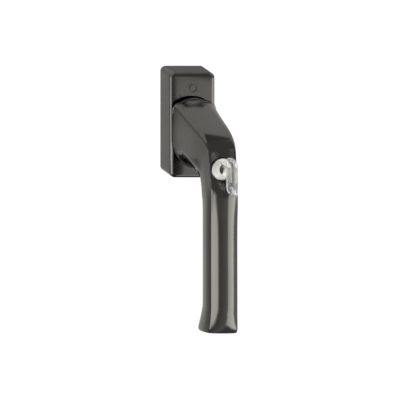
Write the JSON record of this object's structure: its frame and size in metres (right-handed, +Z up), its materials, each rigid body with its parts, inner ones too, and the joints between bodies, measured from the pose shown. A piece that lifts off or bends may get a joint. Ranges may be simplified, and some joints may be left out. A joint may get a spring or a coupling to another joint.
{
  "type": "lockable window handle",
  "caption": "Tilt-and-turn window handle with a rectangular rose, cranked grip, cylinder lock and a key with a clear bow.",
  "frame": {"origin": "where the spindle axis crosses the mounting plane of the rose", "axes": "+X right seen by the user, +Y along the spindle into the sash, +Z up; the grip points down"},
  "size_m": [0.0304, 0.0832, 0.1664],
  "materials": {
    "bronze_anodised": "satin dark bronze",
    "zinc_steel": "zinc-plated stamped sheet",
    "die_cast_zinc": "raw die casting",
    "plated_steel": "bright zinc plate",
    "spring_steel": "blued spring steel",
    "yellow_zinc": "yellow passivated",
    "black_steel": "black oxide",
    "nickel": "satin nickel",
    "brass": "stamped brass",
    "bush_plastic": "natural acetal",
    "clear_plastic": "clear moulded plastic"
  },
  "bodies": {
    "base": {"base_plate": "zinc_steel", "support_cams": "die_cast_zinc", "detent_housing": "die_cast_zinc", "housing_rivets": "plated_steel", "leaf_spring_left": "spring_steel", "leaf_spring_right": "spring_steel", "bearing_bush": "bush_plastic", "mounting_screws": "yellow_zinc", "cover_clips": "spring_steel"},
    "cover": {"rose_cover": "bronze_anodised"},
    "handle": {"handle": "bronze_anodised", "detent_hub": "die_cast_zinc", "spindle_clip": "spring_steel", "square_spindle": "plated_steel", "spindle_set_screw": "black_steel", "lock_bezel": "bronze_anodised", "lock_housing": "die_cast_zinc", "lock_set_screw": "black_steel", "pin_spring": "spring_steel"},
    "plug": {"lock_plug": "nickel", "lock_wafers": "brass", "lock_cam": "die_cast_zinc", "cam_screw": "black_steel"},
    "key": {"key_blade": "nickel", "key_bow": "clear_plastic"},
    "pin": {"locking_pin": "plated_steel"}
  },
  "joints": [
    {"name": "handle_turn", "type": "hinge", "parent": "base", "child": "handle", "pos_m": [0, 0, 0], "axis": [0, -1, 0], "continuous": true, "deforming": ["leaf_spring_left", "leaf_spring_right"]},
    {"name": "cover_lift", "type": "slide", "parent": "base", "child": "cover", "axis": [0, -1, 0], "range_m": [0, 0.0014]},
    {"name": "lock_turn", "type": "hinge", "parent": "handle", "child": "plug", "pos_m": [0, 0, -0.0156], "axis": [0, 1, 0], "range_deg": [0, 90]},
    {"name": "pin_slide", "type": "slide", "parent": "handle", "child": "pin", "axis": [0, 1, 0], "range_m": [0, 0.004], "deforming": ["pin_spring"]},
    {"name": "key_slide", "type": "slide", "parent": "plug", "child": "key", "axis": [0, -1, 0], "range_m": [0, 0.024]}
  ],
  "couplings": [
    {"joint": "pin_slide", "follows": "lock_turn", "m_per_rad": 0.002546}
  ]
}
